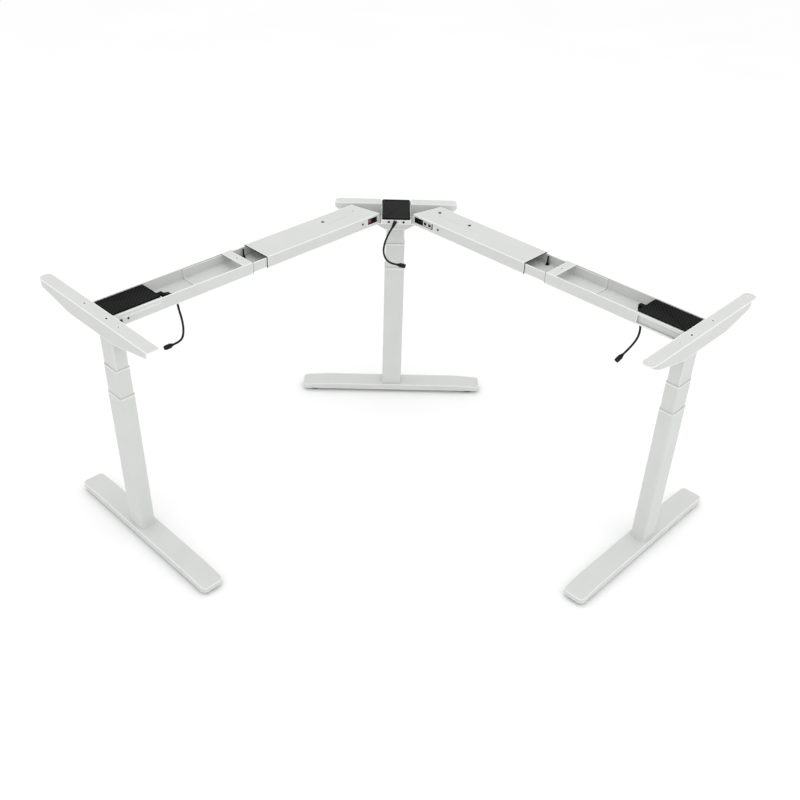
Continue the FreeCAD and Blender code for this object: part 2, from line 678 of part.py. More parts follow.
def make_rail(arm):
    """The channel that joins the two sections of an arm and slides in both."""
    start = S.apex_end - S.rail_lap
    length = arm.length - S.end_section + arm.far_lap - start
    base = BEAM_BOTTOM + S.beam_sheet + S.rail_clear
    outer = middle_box(start + length / 2, Size.of(0), base, length, S.rail_width, S.rail_height)
    inner = middle_box(start + length / 2, Size.of(0), base + S.rail_sheet, length + 2,
                       S.rail_width - S.rail_sheet * 2, S.rail_height)
    x = S.apex_end + S.bolt_radius * 6
    y = -(S.rail_width / 2 - S.bolt_radius * 4) * arm.user
    hole = rod(x, y, base - 1, S.bolt_radius, S.rail_sheet + 2)
    arm.put("rail", cut(outer, inner, hole))
    seat = base + S.rail_sheet
    nut = rod(x, y, seat, S.bolt_radius * 2, S.bolt_radius * 1.6)
    shank = rod(x, y, base, S.bolt_radius, S.bolt_height)
    arm.put("rail_bolt", fuse(nut, shank))


def make_end_beam(leg):
    """The outer section of an arm: an open channel with a bridge strip across its mouth."""
    beam_y = -S.leg_offset * leg.user
    start = -S.end_section
    length = S.end_section - (S.bracket_width / 2 - BRACKET_SHIFT)
    outer = middle_box(start + length / 2, beam_y, BEAM_BOTTOM, length, S.beam_width,
                       S.beam_height)
    inner = middle_box(start + length / 2, beam_y, BEAM_BOTTOM + S.beam_sheet, length + 2,
                       S.beam_width - S.beam_sheet * 2, S.beam_height)
    channel = cut(outer, inner)
    strip = middle_box(start + S.strip_width / 2, beam_y, S.beam_top - S.beam_sheet,
                       S.strip_width, S.beam_width, S.beam_sheet)
    sill = BEAM_BOTTOM + S.window_sill
    wall = S.beam_width / 2

    def wall_cut(side, z, height):
        low = beam_y + wall * side - S.beam_sheet - 1
        return box(WINDOW_X, low, z, WINDOW_LEN, S.beam_sheet * 2 + 2, height)

    window = wall_cut(-1, sill, S.beam_height - S.window_sill - S.window_head)
    notch = wall_cut(1, S.beam_top - S.notch_height, S.notch_height + 1)
    column = middle_box(Size.of(0), Size.of(0), BEAM_BOTTOM - 1, S.tube_x - S.tube_step * 2,
                        S.tube_y, S.beam_height + 2)
    cord = rod(*CORD_HOLES[leg.name], BEAM_BOTTOM - 1, S.cord_hole, S.beam_sheet + 2)
    hole = slot(start + S.strip_width / 2, beam_y, S.hole_radius, S.slot_len,
                S.beam_top - S.beam_sheet - 1, S.beam_sheet + 2)
    leg.put("end_beam", cut(fuse(channel, strip), window, notch, column, cord, hole))


# ---------------------------------------------------------------- electrics
def sockets(arm, count, start, z):
    """Recesses for plugs along the user-side face of a box in the arm."""
    tools = []
    for index in range(count):
        x = start + S.socket_in + S.socket_pitch * index
        tools.append(front_box(arm, x, z, S.socket_width, S.socket_height,
                               S.socket_depth + S.beam_sheet + 1))
    return tools


def make_control_box(arm):
    """The control box in the right arm, its sockets showing through the arm's port window."""
    floor = BEAM_BOTTOM + S.beam_sheet
    wall = S.beam_width / 2 - S.beam_sheet
    body = box(CONTROL_START, -wall, floor, S.control_len, S.control_width, S.control_height)
    front = box(PORT_START, -wall, S.port_bottom, S.port_len, S.socket_depth * 2, S.port_height)
    z = S.port_bottom + (S.port_height - S.socket_height) / 2
    sunk = cut(fuse(body, front), *sockets(arm, 4, PORT_START, z))
    finish("control_box", sunk, SHIFT_X, SHIFT_Y, 0, arm.turn)


def make_inlet(arm):
    """The mains inlet block behind the left arm's port window, with its rocker switch."""
    wall = S.beam_width / 2 - S.beam_sheet
    floor = BEAM_BOTTOM + S.beam_sheet
    start = PORT_START + S.inlet_in
    body = box(start, wall - S.inlet_depth, floor, S.inlet_len - S.inlet_in, S.inlet_depth,
               S.control_height)
    z = S.port_bottom + (S.port_height - S.socket_height) / 2
    x = start + S.socket_in + S.socket_pitch + S.socket_width / 2
    y = wall - S.rocker_in
    middle = z + S.socket_height / 2
    long = S.socket_width / 2 + S.rocker_pin_len
    seat = rod(x - long, y, middle, S.rocker_pin + S.rocker_pin_gap, long * 2,
               FreeCAD.Vector(1, 0, 0))
    finish("power_inlet", cut(body, seat, *sockets(arm, 2, start, z)), SHIFT_X, SHIFT_Y, 0,
           arm.turn)
    reach = S.socket_width / 2 - S.rocker_gap_x
    half = S.socket_height / 2 - S.rocker_gap_z
    front = y + S.rocker_depth / 2
    back = y - S.rocker_depth / 2
    key = outline("YZ_Plane", [
        (back, middle - half), (front, middle - half), (front - S.rocker_dip, middle),
        (front, middle + half), (back, middle + half)], reach * 2)
    place(key, x, 0, 0)
    pin = rod(x - reach - S.rocker_pin_len, y, middle, S.rocker_pin,
              (reach + S.rocker_pin_len) * 2, FreeCAD.Vector(1, 0, 0))
    finish("power_rocker", fuse(key, pin), SHIFT_X, SHIFT_Y, 0, arm.turn)


# ---------------------------------------------------------------- motor cords
EXIT_Y = {"left": -40.0, "right": 60.0}
CORD_HOLES = {"left": (-240.5, -37.5), "right": (-193.0, 61.0)}

# Points of each hanging cord in its own leg's frame, from its exit to its connector.
ROUTES = {
    "corner": [(-139.5, 3.2, 772), (-149, 12, 757), (-155, 26, 734), (-158, 36, 708),
               (-158, 41, 683), (-156, 40, 659), (-154, 31, 637), (-153, 14, 623),
               (-153, -7, 619)],
    "left": [(-201, -40, 769.5), (-222, -40, 767), (-238, -38, 752), (-243, -36, 730),
             (-244, -33, 706), (-247, -29, 680), (-248.5, -27, 654), (-248, -28, 629),
             (-244, -32, 606), (-234, -42, 591), (-221.7, -54.7, 582)],
    "right": [(-193, 60, 762), (-192.5, 61.5, 739), (-189, 66, 714), (-186.5, 68.5, 690),
              (-188, 66.5, 666), (-194.5, 59.5, 644), (-203.5, 50.5, 623), (-213, 41, 604)],
}


def cord_wire(points):
    """Straight runs joined by tangent arcs as large as the runs allow, and the arcs' radii."""
    edges = []
    radii = []
    start = points[0]
    for before, corner, after in zip(points, points[1:], points[2:]):
        into = (corner - before).normalize()
        out = (after - corner).normalize()
        turn = into.getAngle(out)
        setback = 0.45 * min((corner - before).Length, (after - corner).Length)
        radius = setback / math.tan(turn / 2)
        radii.append(round(radius, 1))
        first = corner - into * setback
        last = corner + out * setback
        inward = (out - into).normalize()
        centre = corner + inward * (radius / math.cos(turn / 2))
        edges.append(Part.LineSegment(start, first).toShape())
        edges.append(Part.Arc(first, centre - inward * radius, last).toShape())
        start = last
    edges.append(Part.LineSegment(start, points[-1]).toShape())
    return Part.Wire(edges), radii


def make_cord(leg):
    """A motor cord, with the connector on its end."""
    points = [leg.at(point) for point in ROUTES[leg.name]]
    wire, radii = cord_wire(points)
    heading = points[1] - points[0]
    ring = Part.Wire(Part.makeCircle(S.cord_radius.value, points[0], heading))
    tube = wire.makePipeShell([ring], True, False)
    expected = math.pi * S.cord_radius.value ** 2 * wire.Length
    print("%s cord: length %.1f, volume over expected %.4f, radii %s"
          % (leg.name, wire.Length, tube.Volume / expected, radii))
    cord = DOC.addObject("Part::Feature", "cord")
    cord.Shape = tube
    cord.Label = leg.name + "_motor_cord"
    PARTS.append(cord)
    way = FreeCAD.Vector(*ROUTES[leg.name][-1]) - FreeCAD.Vector(*ROUTES[leg.name][-2])
    end = ROUTES[leg.name][-1]
    neck = rod(*end, S.cord_radius * 1.25, S.plug_neck, way, S.plug_radius * 0.8)
    step = way.normalize() * S.plug_neck.value
    body = rod(*(FreeCAD.Vector(*end) + step), S.plug_radius, S.plug_len - S.plug_neck, way)
    leg.put("cord_plug", group(fuse(neck, body)))


# ---------------------------------------------------------------- build
ARMS = {
    "left": Arm("left", S.arm_left, S.rail_far_lap_left, -90.0, 1),
    "right": Arm("right", S.arm_right, S.rail_far_lap_right, 0.0, -1),
}

for each_leg in LEGS.values():
    make_foot(each_leg)
    make_pads(each_leg)
    make_foot_screws(each_leg)
    make_columns(each_leg)
    make_spindle(each_leg)
    make_gear_motor(each_leg)
    make_cord(each_leg)
make_corner_bracket(LEGS["corner"])
make_corner_housing(LEGS["corner"])
for side_name in ("left", "right"):
    make_end_bracket(LEGS[side_name])
    make_end_housing(LEGS[side_name])
    make_end_beam(LEGS[side_name])
    make_apex_beam(ARMS[side_name])
    make_rail(ARMS[side_name])
make_control_box(ARMS["right"])
make_inlet(ARMS["left"])
DOC.recompute()

# ---------------------------------------------------------------- check and write
for item in DOC.Objects:
    if "Invalid" in item.State or "Error" in item.State:
        raise RuntimeError("%s (%s) failed: %s" % (item.Name, item.Label, item.State))
names = [part.Label for part in PARTS]
if len(set(names)) != len(names):
    raise RuntimeError("two sub-parts share a name")
for part in PARTS:
    if part.Shape.isNull() or not part.Shape.isValid() or not part.Shape.Solids:
        raise RuntimeError("%s has no valid solid" % part.Label)
os.makedirs("parts", exist_ok=True)
for part in PARTS:
    part.Shape.exportStep(os.path.join("parts", part.Label + ".step"))
print("%d sub-parts, origin shift %.2f, %.2f" % (len(PARTS), SHIFT_X.value, SHIFT_Y.value))
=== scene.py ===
"""Looks of a height adjustable corner desk frame: finishes, lids, cords, fittings, studio."""

import json
import logging
import math
from dataclasses import dataclass, field
from enum import Enum
from typing import Any

import bmesh
import bpy
from mathutils import Matrix, Vector

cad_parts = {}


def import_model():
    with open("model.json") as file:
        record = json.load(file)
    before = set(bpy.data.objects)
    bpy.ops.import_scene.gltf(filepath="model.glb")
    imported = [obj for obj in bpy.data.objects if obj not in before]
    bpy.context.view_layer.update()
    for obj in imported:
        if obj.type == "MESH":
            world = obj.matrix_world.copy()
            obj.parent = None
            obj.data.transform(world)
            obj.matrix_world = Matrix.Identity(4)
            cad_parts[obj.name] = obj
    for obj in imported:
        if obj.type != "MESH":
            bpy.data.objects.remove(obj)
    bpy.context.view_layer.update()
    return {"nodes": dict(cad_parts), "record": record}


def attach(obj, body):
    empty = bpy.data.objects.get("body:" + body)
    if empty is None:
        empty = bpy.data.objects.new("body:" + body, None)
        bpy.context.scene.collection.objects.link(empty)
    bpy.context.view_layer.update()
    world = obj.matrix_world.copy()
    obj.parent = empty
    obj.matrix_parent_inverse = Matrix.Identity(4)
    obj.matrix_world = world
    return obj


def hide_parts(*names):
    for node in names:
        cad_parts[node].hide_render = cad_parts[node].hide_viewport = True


LOG = logging.getLogger("corner_desk_frame")
MM = 0.001

# Surfaces: distances in millimetres, the rest as shares.
SOFT_EDGE_MM = 0.8          # every edge catches the light as if it were rounded this much
OPEN_REACH_MM = 6.0         # how far from a bend the room around it is judged
STREAK_STRETCH = 0.08       # how much a streak is drawn out
WAVES_PER_SCALE = 3.2       # waves that a wave texture of scale one has in a unit
SMOOTH_DEGREES = 35.0       # faces that meet flatter than this are shaded as one

# The open mouth of an arm's section, and its black edging, in millimetres. The edging is partly
# painted shade: it darkens the gap at the mouth.
MOUTH_WIDTH = 115.0
MOUTH_DEPTH = 39.0
MOUTH_BOTTOM = 740.0
SHADE_EDGING_RIM = 1.9
SHADE_EDGING_RISE = 1.4

# The crossing of the arms' centre lines, and where the legs stand from it, in metres.
CROSSING = (-0.4855, 0.472)
CORNER_LEG_SETBACK = 0.054
END_LEG_SIDE = 0.069
LEFT_LEG_REACH = 1.197
RIGHT_LEG_REACH = 1.224

Point = tuple[float, float, float]
Profile = list[tuple[float, float]]

# The motor cords' routes, in millimetres in the frame of their own leg.
CORNER_ROUTE: list[Point] = [
    (-139.5, 3.2, 772), (-149, 12, 757), (-155, 26, 734), (-158, 36, 708), (-158, 41, 683),
    (-156, 40, 659), (-154, 31, 637), (-153, 14, 623), (-153, -7, 619)]
LEFT_ROUTE: list[Point] = [
    (-201, -40, 769.5), (-222, -40, 767), (-238, -38, 752), (-243, -36, 730),
    (-244, -33, 706), (-247, -29, 680), (-248.5, -27, 654), (-248, -28, 629),
    (-244, -32, 606), (-234, -42, 591), (-221.7, -54.7, 582)]
RIGHT_ROUTE: list[Point] = [
    (-193, 60, 762), (-192.5, 61.5, 739), (-189, 66, 714), (-186.5, 68.5, 690),
    (-188, 66.5, 666), (-194.5, 59.5, 644), (-203.5, 50.5, 623), (-213, 41, 604)]


# ---------------------------------------------------------------- finishes
def linear(code: str) -> tuple[float, float, float, float]:
    """Turn an sRGB hex colour into linear light.

    Args:
        code: The colour as "#rrggbb".

    Returns:
        Red, green, blue and an alpha of one.
    """
    parts = [int(code[i:i + 2], 16) / 255 for i in (1, 3, 5)]
    light = [c / 12.92 if c <= 0.04045 else ((c + 0.055) / 1.055) ** 2.4 for c in parts]
    return light[0], light[1], light[2], 1.0


def add_node(tree: bpy.types.NodeTree, kind: str, settings: dict[Any, Any] | None = None,
             links: dict[Any, bpy.types.NodeSocket] | None = None) -> bpy.types.Node:
    """Add a node, set its properties and sockets, and link its inputs.

    Args:
        tree: The node tree to add to.
        kind: The node's type name.
        settings: Property name, or input name or number, to its value.
        links: Input name or number to the output socket that feeds it.

    Returns:
        The new node.
    """
    node = tree.nodes.new(kind)
    for name, value in (settings or {}).items():
        if isinstance(name, str) and name.islower():
            setattr(node, name, value)
        else:
            node.inputs[name].default_value = value
    for name, socket in (links or {}).items():
        tree.links.new(socket, node.inputs[name])
    return node


def ranged(tree: bpy.types.NodeTree, value: bpy.types.NodeSocket, low: float, high: float,
           reach: float = 1.0) -> bpy.types.NodeSocket:
    """Stretch a part of a value's range to run from nought to a reach.

    Args:
        tree: The node tree to add to.
        value: The value.
        low: What becomes nought.
        high: What becomes the reach.
        reach: The largest result.

    Returns:
        The stretched and clamped value.
    """
    return add_node(tree, "ShaderNodeMapRange",
                    {"From Min": low, "From Max": high, "To Min": 0.0, "To Max": reach},
                    {"Value": value}).outputs[0]


def combined(tree: bpy.types.NodeTree, operation: str, one: bpy.types.NodeSocket,
             other: bpy.types.NodeSocket) -> bpy.types.NodeSocket:
    """Combine two values by a math node's operation, and return the result's socket."""
    return add_node(tree, "ShaderNodeMath", {"operation": operation},
                    {0: one, 1: other}).outputs[0]


class Relief(Enum):
    """The small-scale shape of a surface."""

    PEEL = "the soft dimples of a baked coat"
    GRAIN = "fine spark-eroded grain"
    DIAMOND = "two crossed sets of fine moulded lines"
    RINGS = "rings along the upright axis, as of a thread"
    STREAKS = "long drawn streaks"


@dataclass(frozen=True)
class Finish:
    """One finish: what the surface is made of, and how it was made.

    Colours are sRGB hex values, and sizes are millimetres of the real surface. The second colour is
    painted round bends, in patches and on the relief's crests: wear on some finishes, and a painted
    highlight along the bends of the white coat.
    """

    name: str
    colour: str
    # second colour: wear on some finishes, a painted highlight along the bends of the white coat
    wear_and_highlight_colour: str
    roughness: float
    spread: float
    relief: Relief
    relief_mm: float
    depth_mm: float
    patch_mm: float = 90.0
    edge_mm: float = 0.9
    metallic: float = 0.0
    ior: float = 1.5
    gloss_level: float = 0.5
    edge_mix: float = 0.7
    patch_mix: float = 0.3
    crest_mix: float = 0.0

    def height(self, tree: bpy.types.NodeTree, place: bpy.types.NodeSocket) -> bpy.types.NodeSocket:
        """Build the relief's height.

        Args:
            tree: The material's node tree.
            place: Object coordinates.

        Returns:
            A socket that runs from about 0 to 1.
        """
        scale = 1 / (self.relief_mm * MM)
        if self.relief in (Relief.DIAMOND, Relief.RINGS):
            axis = "Z" if self.relief is Relief.RINGS else "DIAGONAL"
            turns = [0.0] if self.relief is Relief.RINGS else [0.0, math.pi / 2]
            waves = []
            for turn in turns:
                moved = add_node(tree, "ShaderNodeMapping", {"Rotation": (0, 0, turn)},
                                 {"Vector": place})
                waves.append(add_node(
                    tree, "ShaderNodeTexWave",
                    {"bands_direction": axis, "Scale": scale / WAVES_PER_SCALE,
                     "Distortion": 0.2},
                    {"Vector": moved.outputs[0]}).outputs["Fac"])
            if len(waves) == 1:
                return waves[0]
            return combined(tree, "MULTIPLY", waves[0], waves[1])
        upright = STREAK_STRETCH if self.relief is Relief.STREAKS else 1.0
        moved = add_node(tree, "ShaderNodeMapping", {"Scale": (1.0, 1.0, upright)},
                         {"Vector": place})
        detail = 1.0 if self.relief is Relief.PEEL else 4.0
        return add_node(tree, "ShaderNodeTexNoise", {"Scale": scale, "Detail": detail},
                        {"Vector": moved.outputs[0]}).outputs["Fac"]

    def material(self) -> bpy.types.Material:
        """Build the finish as a node material, or find it if it is already built.

        Returns:
            The material.
        """
        known = bpy.data.materials.get(self.name)
        if known:
            return known
        made = bpy.data.materials.new(self.name)
        made.use_nodes = True
        tree = made.node_tree
        tree.nodes.clear()
        place = add_node(tree, "ShaderNodeTexCoord").outputs["Object"]
        height = self.height(tree, place)
        soft = add_node(tree, "ShaderNodeBevel", {"samples": 4, "Radius": SOFT_EDGE_MM * MM})
        # round a bend the second colour is painted in, as wear where edges get rubbed and as a
        # painted highlight along the bends of the white coat
        near = add_node(tree, "ShaderNodeBevel", {"samples": 6, "Radius": self.edge_mm * MM})
        flat = add_node(tree, "ShaderNodeNewGeometry").outputs["Normal"]
        facing = add_node(tree, "ShaderNodeVectorMath", {"operation": "DOT_PRODUCT"},
                          {0: near.outputs[0], 1: flat}).outputs["Value"]
        bend = ranged(tree, facing, 1.0, 0.85, self.edge_mix)
        # an inside corner is a bend too, but gets neither wear nor the painted highlight
        room = add_node(tree, "ShaderNodeAmbientOcclusion",
                        {"samples": 4, "Distance": OPEN_REACH_MM * MM})
        outside = ranged(tree, room.outputs["AO"], 0.7, 0.95)
        edge = combined(tree, "MULTIPLY", bend, outside)
        patch = add_node(tree, "ShaderNodeTexNoise",
                         {"Scale": 1 / (self.patch_mm * MM), "Detail": 3.0}, {"Vector": place})
        uneven = ranged(tree, patch.outputs["Fac"], 0.35, 0.65, self.patch_mix)
        crest = ranged(tree, height, 0.45, 0.9, self.crest_mix)
        # share of the second colour: wear, and on the white coat a painted highlight along the
        # bends
        wear_and_highlight_share = combined(tree, "MAXIMUM", edge, combined(tree, "MAXIMUM", uneven, crest))
        colour = add_node(tree, "ShaderNodeMix",
                          {"data_type": "RGBA", 6: linear(self.colour), 7: linear(self.wear_and_highlight_colour)},
                          {0: wear_and_highlight_share}).outputs[2]
        rough = add_node(tree, "ShaderNodeMapRange",
                         {"To Min": self.roughness - self.spread,
                          "To Max": self.roughness + self.spread},
                         {"Value": height}).outputs[0]
        bump = add_node(tree, "ShaderNodeBump", {"Distance": self.depth_mm * MM},
                        {"Height": height, "Normal": soft.outputs[0]}).outputs[0]
        shader = add_node(tree, "ShaderNodeBsdfPrincipled",
                          {"Metallic": self.metallic, "IOR": self.ior,
                           "Specular IOR Level": self.gloss_level},
                          {"Base Color": colour, "Roughness": rough, "Normal": bump})
        add_node(tree, "ShaderNodeOutputMaterial", {}, {"Surface": shader.outputs[0]})
        return made


# Polyester powder coat, sprayed and baked: an even soft white, with a painted highlight in pure
# white where it rounds a bend.
COAT = Finish("powder_coated_steel", "#ced0ce", "#ffffff", 0.46, 0.07, Relief.PEEL, 5.0, 0.05,
              edge_mm=5.0, gloss_level=0.35, edge_mix=1.0, patch_mix=0.05)
# Injection-moulded ABS with a fine crossed grain, drawn coarse enough to show as pale flecks.
LID = Finish("moulded_abs_crossed_grain", "#040405", "#3a3b3d", 0.66, 0.1, Relief.DIAMOND,
             6.5, 0.35, 40.0, gloss_level=0.05, patch_mix=0.05, crest_mix=0.9)
# Injection-moulded ABS, spark-eroded: dark grey with a broad soft sheen over its dish.
CAP = Finish("moulded_abs_satin", "#161617", "#0b0b0c", 0.5, 0.06, Relief.GRAIN, 3.0, 0.05,
             50.0, gloss_level=0.06, patch_mix=0.5)
# The same moulding on the cap's raised rim, glossier and blacker.
RIM = Finish("moulded_abs_rim", "#020203", "#131314", 0.4, 0.06, Relief.GRAIN, 3.0, 0.04, 30.0,
             gloss_level=0.05, patch_mix=0.1)
# Flame-retardant ABS box: flat black, a little dusty.
BOX = Finish("moulded_abs_matt", "#111112", "#232326", 0.62, 0.08, Relief.GRAIN, 2.5, 0.06, 30.0,
             gloss_level=0.15)
# Milled acetal: milky white and slightly waxy, close to the coat around it.
GLIDE = Finish("moulded_acetal", "#cdcecb", "#e4e5e2", 0.35, 0.05, Relief.GRAIN, 3.0, 0.03,
               ior=1.48)
# Compression-moulded rubber: black, dull, chalky on its edges.
PAD = Finish("moulded_rubber", "#121213", "#2b2b2c", 0.82, 0.08, Relief.GRAIN, 2.0, 0.15, 15.0,
             gloss_level=0.2)
# Extruded PVC jacket: black with a soft long highlight.
JACKET = Finish("extruded_pvc", "#0e0e10", "#1d1d20", 0.45, 0.08, Relief.GRAIN, 2.5, 0.05, 25.0,
                gloss_level=0.25)
# Moulded nylon: black with a crisp small highlight.
NYLON = Finish("moulded_nylon_black", "#0a0a0b", "#202023", 0.36, 0.06, Relief.GRAIN, 2.0, 0.04,
               12.0, 0.5, gloss_level=0.25)
# Moulded nylon in natural grey, as on board connectors.
NYLON_GREY = Finish("moulded_nylon_grey", "#d3d5d4", "#e6e8e6", 0.40, 0.06, Relief.GRAIN, 2.0,
                    0.04, 12.0, 0.3)
# Moulded nylon in signal red, as on a rocker: one small bright patch in a black block.
NYLON_RED = Finish("moulded_nylon_red", "#8c2d33", "#a9565b", 0.38, 0.06, Relief.GRAIN, 2.0,
                   0.04, 12.0, 0.3)
# Black-oxide steel: dark, oily, brighter where a key has rubbed it.
BLACK_STEEL = Finish("black_oxide_steel", "#0d0d0e", "#2c2c2e", 0.5, 0.10, Relief.GRAIN, 2.0,
                     0.04, 8.0, 0.4, 0.3, gloss_level=0.3)
# Rolled and oiled screw steel: bright rings along the thread.
SPINDLE = Finish("rolled_screw_steel", "#b4b4b2", "#8d8b86", 0.28, 0.10, Relief.RINGS, 4.0, 0.9,
                 30.0, 0.4, 1.0)
# Drawn and zinc-plated steel: a grey metal with faint streaks.
ZINC = Finish("zinc_plated_steel", "#9a9c9e", "#c2c4c6", 0.36, 0.10, Relief.STREAKS, 3.0, 0.05,
              40.0, 0.8, 1.0)
# Tinned copper contacts: small bright points in a dark socket.
TIN = Finish("tinned_contact", "#c9c5b8", "#e2dfd5", 0.25, 0.05, Relief.GRAIN, 1.0, 0.02, 4.0,
             0.1, 1.0)

SLOT_FINISHES = {
    "white_powder_coat": COAT, "cover_plastic": LID, "box_plastic": BOX, "glide_plastic": GLIDE,
    "plug_plastic": NYLON, "pad_rubber": PAD, "cord_rubber": JACKET,
    "rocker_plastic": NYLON_RED, "black_screw_steel": BLACK_STEEL, "spindle_steel": SPINDLE,
    "motor_steel": ZINC,
}


def dress_cad_nodes(nodes: dict[str, bpy.types.Object], record: dict[str, Any]) -> None:
    """Give every carried-over node the finish of its material slot.

    Args:
        nodes: Node name to its object.
        record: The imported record.
    """
    for part in record["subparts"]:
        finish = SLOT_FINISHES[part["material_slot"]].material()
        piece = nodes[part["node"]]
        for place in piece.material_slots:
            place.material = finish
        LOG.info("%s: %s", part["node"], finish.name)


# ---------------------------------------------------------------- making a piece
@dataclass
class Station:
    """Where a leg or an arm stands and how far it is turned about Z, in metres and degrees."""

    name: str
    x: float
    y: float
    turn: float

    def matrix(self) -> Matrix:
        """Return the turn and the move from the station's own frame."""
        return Matrix.Translation((self.x, self.y, 0)) @ Matrix.Rotation(
            math.radians(self.turn), 4, "Z")

    def at(self, point: Point) -> Vector:
        """Find where a point of the station's own frame is.

        Args:
            point: The point in millimetres.

        Returns:
            The point of the whole frame, in metres.
        """
        return self.matrix() @ (Vector(point) * MM)


def turned(profile: Profile, steps: int = 32) -> bmesh.types.BMesh:
    """Turn a profile about Z, as on a lathe.

    Args:
        profile: Radius and height pairs in millimetres.
        steps: How many flats go round.

    Returns:
        A closed shape in metres.
    """
    shape = bmesh.new()
    verts = [shape.verts.new((radius * MM, 0, height * MM)) for radius, height in profile]
    edges = [shape.edges.new(pair) for pair in zip(verts, verts[1:])]
    bmesh.ops.spin(shape, geom=verts + edges, cent=(0, 0, 0), axis=(0, 0, 1),
                   angle=math.tau, steps=steps, use_merge=True, use_duplicate=False)
    bmesh.ops.remove_doubles(shape, verts=shape.verts[:], dist=1e-6)
    return shape


def block(size: Point, centre: Point, rounding: float, segments: int = 3) -> bmesh.types.BMesh:
    """Make a box with rounded edges.

    Args:
        size: Its three sizes in millimetres.
        centre: Its middle in millimetres.
        rounding: The edge radius in millimetres.
        segments: How many flats round an edge.

    Returns:
        The shape in metres.
    """
    shape = bmesh.new()
    bmesh.ops.create_cube(shape, size=1.0)
    bmesh.ops.scale(shape, vec=Vector(size) * MM, verts=shape.verts[:])
    bmesh.ops.bevel(shape, geom=shape.edges[:], offset=rounding * MM, affect="EDGES",
                    segments=segments, profile=0.5, material=-1)
    bmesh.ops.translate(shape, vec=Vector(centre) * MM, verts=shape.verts[:])
    return shape


def ring(width: float, height: float, rim: float, depth: float) -> bmesh.types.BMesh:
    """Make a flat rectangular ring that stands up from its own XY plane.

    Args:
        width: Its outer width in millimetres.
        height: Its outer height in millimetres.
        rim: How wide its rim is in millimetres.
        depth: How far it stands up in millimetres.

    Returns:
        The shape in metres.
    """
    shape = bmesh.new()
    bmesh.ops.create_grid(shape, x_segments=1, y_segments=1, size=0.5)
    bmesh.ops.scale(shape, vec=(width * MM, height * MM, 1), verts=shape.verts[:])
    inner = shape.faces[:][0]
    bmesh.ops.inset_region(shape, faces=[inner], thickness=rim * MM, use_boundary=True,
                           use_even_offset=True)
    bmesh.ops.delete(shape, geom=[inner], context="FACES")
    raised = bmesh.ops.extrude_face_region(shape, geom=shape.faces[:])["geom"]
    bmesh.ops.translate(shape, vec=(0, 0, depth * MM), verts=[
        item for item in raised if isinstance(item, bmesh.types.BMVert)])
    return shape


def screw_head(radius: float, rise: float) -> bmesh.types.BMesh:
    """Make a pan head with a cross recess's dimple and a short shank.

    Args:
        radius: The head's radius in millimetres.
        rise: How far it stands above its seat in millimetres.

    Returns:
        The shape in metres, with its seat at height nought.
    """
    return turned([(0, rise * 0.35), (radius * 0.28, rise * 0.35), (radius * 0.36, rise),
                   (radius * 0.62, rise * 0.94), (radius * 0.9, rise * 0.55), (radius, 0.1),
                   (radius, 0), (radius * 0.6, 0), (radius * 0.6, -3), (0, -3)], 24)


def aimed(start: Vector, towards: Vector) -> Matrix:
    """Return the move and turn that lay a shape's Z axis along a direction.

    Args:
        start: Where the shape's origin goes, in metres.
        towards: The direction.

    Returns:
        From the shape's own frame to the frame that both are given in.
    """
    return Matrix.Translation(start) @ towards.to_track_quat("Z", "Y").to_matrix().to_4x4()


def make_piece(name: str, shapes: list[bmesh.types.BMesh], where: Matrix, finish: Finish,
               body: str, stands_for: tuple[str, ...] = (),
               dish: Finish | None = None) -> bpy.types.Object:
    """Join shapes into one piece, put it in place and let it ride.

    Args:
        name: The piece's name.
        shapes: The shapes in their own frame; they are freed.
        where: From that frame to the whole frame.
        finish: Its finish.
        body: The body that it rides on.
        stands_for: The CAD nodes that it replaces.
        dish: The finish of faces whose material number is one, if there are any.

    Returns:
        The piece, at the origin with its place in its mesh.
    """
    whole = bmesh.new()
    for shape in shapes:
        part = bpy.data.meshes.new("part")
        bmesh.ops.recalc_face_normals(shape, faces=shape.faces[:])
        shape.to_mesh(part)
        shape.free()
        whole.from_mesh(part)
        bpy.data.meshes.remove(part)
    bmesh.ops.transform(whole, matrix=where, verts=whole.verts[:])
    mesh = bpy.data.meshes.new(name)
    whole.to_mesh(mesh)
    whole.free()
    mesh.materials.append(finish.material())
    if dish:
        mesh.materials.append(dish.material())
    mesh.shade_smooth()
    mesh.set_sharp_from_angle(angle=math.radians(SMOOTH_DEGREES))
    piece = bpy.data.objects.new(name, mesh)
    bpy.context.scene.collection.objects.link(piece)
    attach(piece, body)
    if stands_for:
        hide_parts(*stands_for)
    LOG.info("%s: %d faces, rides on %s", name, len(mesh.polygons), body)
    return piece


def shade_edge_mouth(name: str, station: Station, mouth: float, middle: float, towards: float,
               body: str) -> None:
    """Make the thin black edging on the open mouth of an arm's section, which is partly painted
    shade for the dark gap at the mouth.

    Args:
        name: The piece's name.
        station: The frame that the section is measured in.
        mouth: Where the mouth is along the arm, in millimetres.
        middle: The section's middle across the arm, in millimetres.
        towards: 1 if the mouth looks along the arm's X axis, or -1.
        body: The body that it rides on.
    """
    trim = ring(MOUTH_WIDTH, MOUTH_DEPTH, SHADE_EDGING_RIM, SHADE_EDGING_RISE)
    turn = Matrix(((0, 0, towards), (towards, 0, 0), (0, 1, 0))).to_4x4()
    place = Matrix.Translation(Vector((mouth, middle, MOUTH_BOTTOM + MOUTH_DEPTH / 2)) * MM)
    make_piece(name, [trim], station.matrix() @ place @ turn, NYLON, body)


